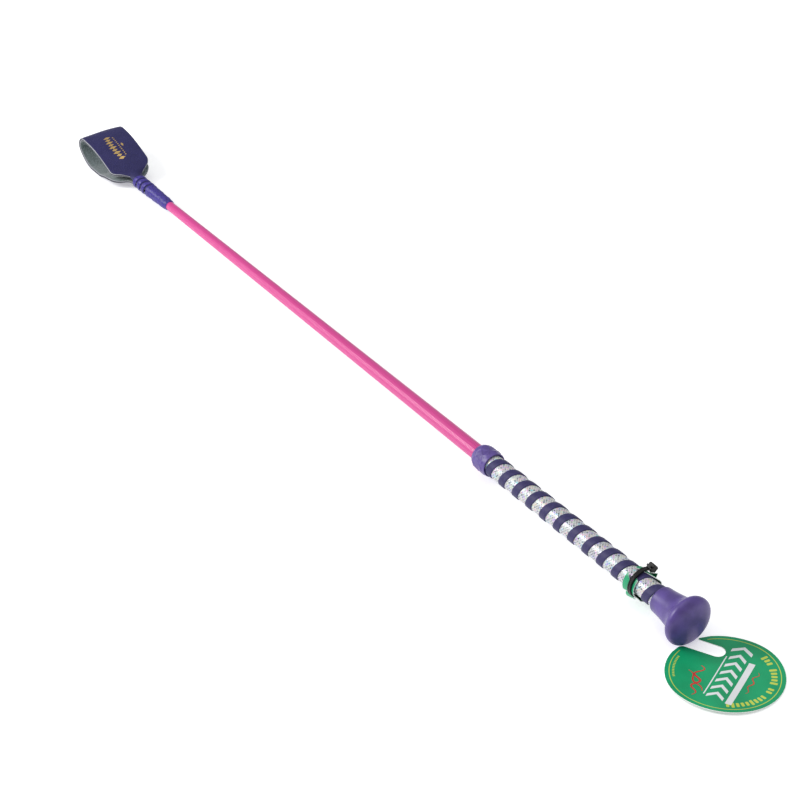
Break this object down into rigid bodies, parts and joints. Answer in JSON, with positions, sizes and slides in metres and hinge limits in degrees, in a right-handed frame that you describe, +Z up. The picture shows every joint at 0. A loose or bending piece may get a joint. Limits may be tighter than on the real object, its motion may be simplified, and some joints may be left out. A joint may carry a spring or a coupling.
{
  "type": "riding crop",
  "caption": "Junior riding crop: tapered braided shaft, spiral-wrapped sparkle grip with mushroom knob, thread-bound folded leather keeper, and a round card swing ticket.",
  "frame": {"origin": "middle of the whole object's outline on the surface that it lies on, z = 0", "axes": "+X along the crop from the keeper to the knob, +Y across it, +Z up from the surface"},
  "size_m": [0.7046, 0.059, 0.0276],
  "materials": {
    "fibreglass": "satin",
    "pink_braid": "glossy braided thread",
    "grip_foam": "matte",
    "sparkle_mesh": "holographic metallic mesh",
    "navy_strip": "matte",
    "purple_rubber": "satin",
    "black_nylon": "satin",
    "green_card": "gloss laminate",
    "navy_thread": "glossy thread",
    "navy_leather": "fine-grained, satin"
  },
  "bodies": {
    "crop": {"core_rod": "fibreglass", "braid_cover": "pink_braid", "grip_tube": "grip_foam", "grip_fabric": "sparkle_mesh", "grip_band": "navy_strip", "grip_collar": "purple_rubber", "knob_cap": "purple_rubber", "cable_tie": "black_nylon", "tie_card": "green_card", "keeper_binding": "navy_thread", "keeper_root": "navy_leather"},
    "keeper": {"keeper_loop": "navy_leather"},
    "ticket": {"swing_ticket": "green_card"}
  },
  "joints": [
    {"name": "keeper_flex", "type": "hinge", "parent": "crop", "child": "keeper", "pos_m": [-0.29028, 0, 0.0064], "axis": [0, 1, 0], "range_deg": [-40, 40], "stiffness_Nm_per_rad": 0.35},
    {"name": "ticket_draw", "type": "slide", "parent": "crop", "child": "ticket", "axis": [1, 0, 0], "range_m": [0, 0.06]}
  ]
}
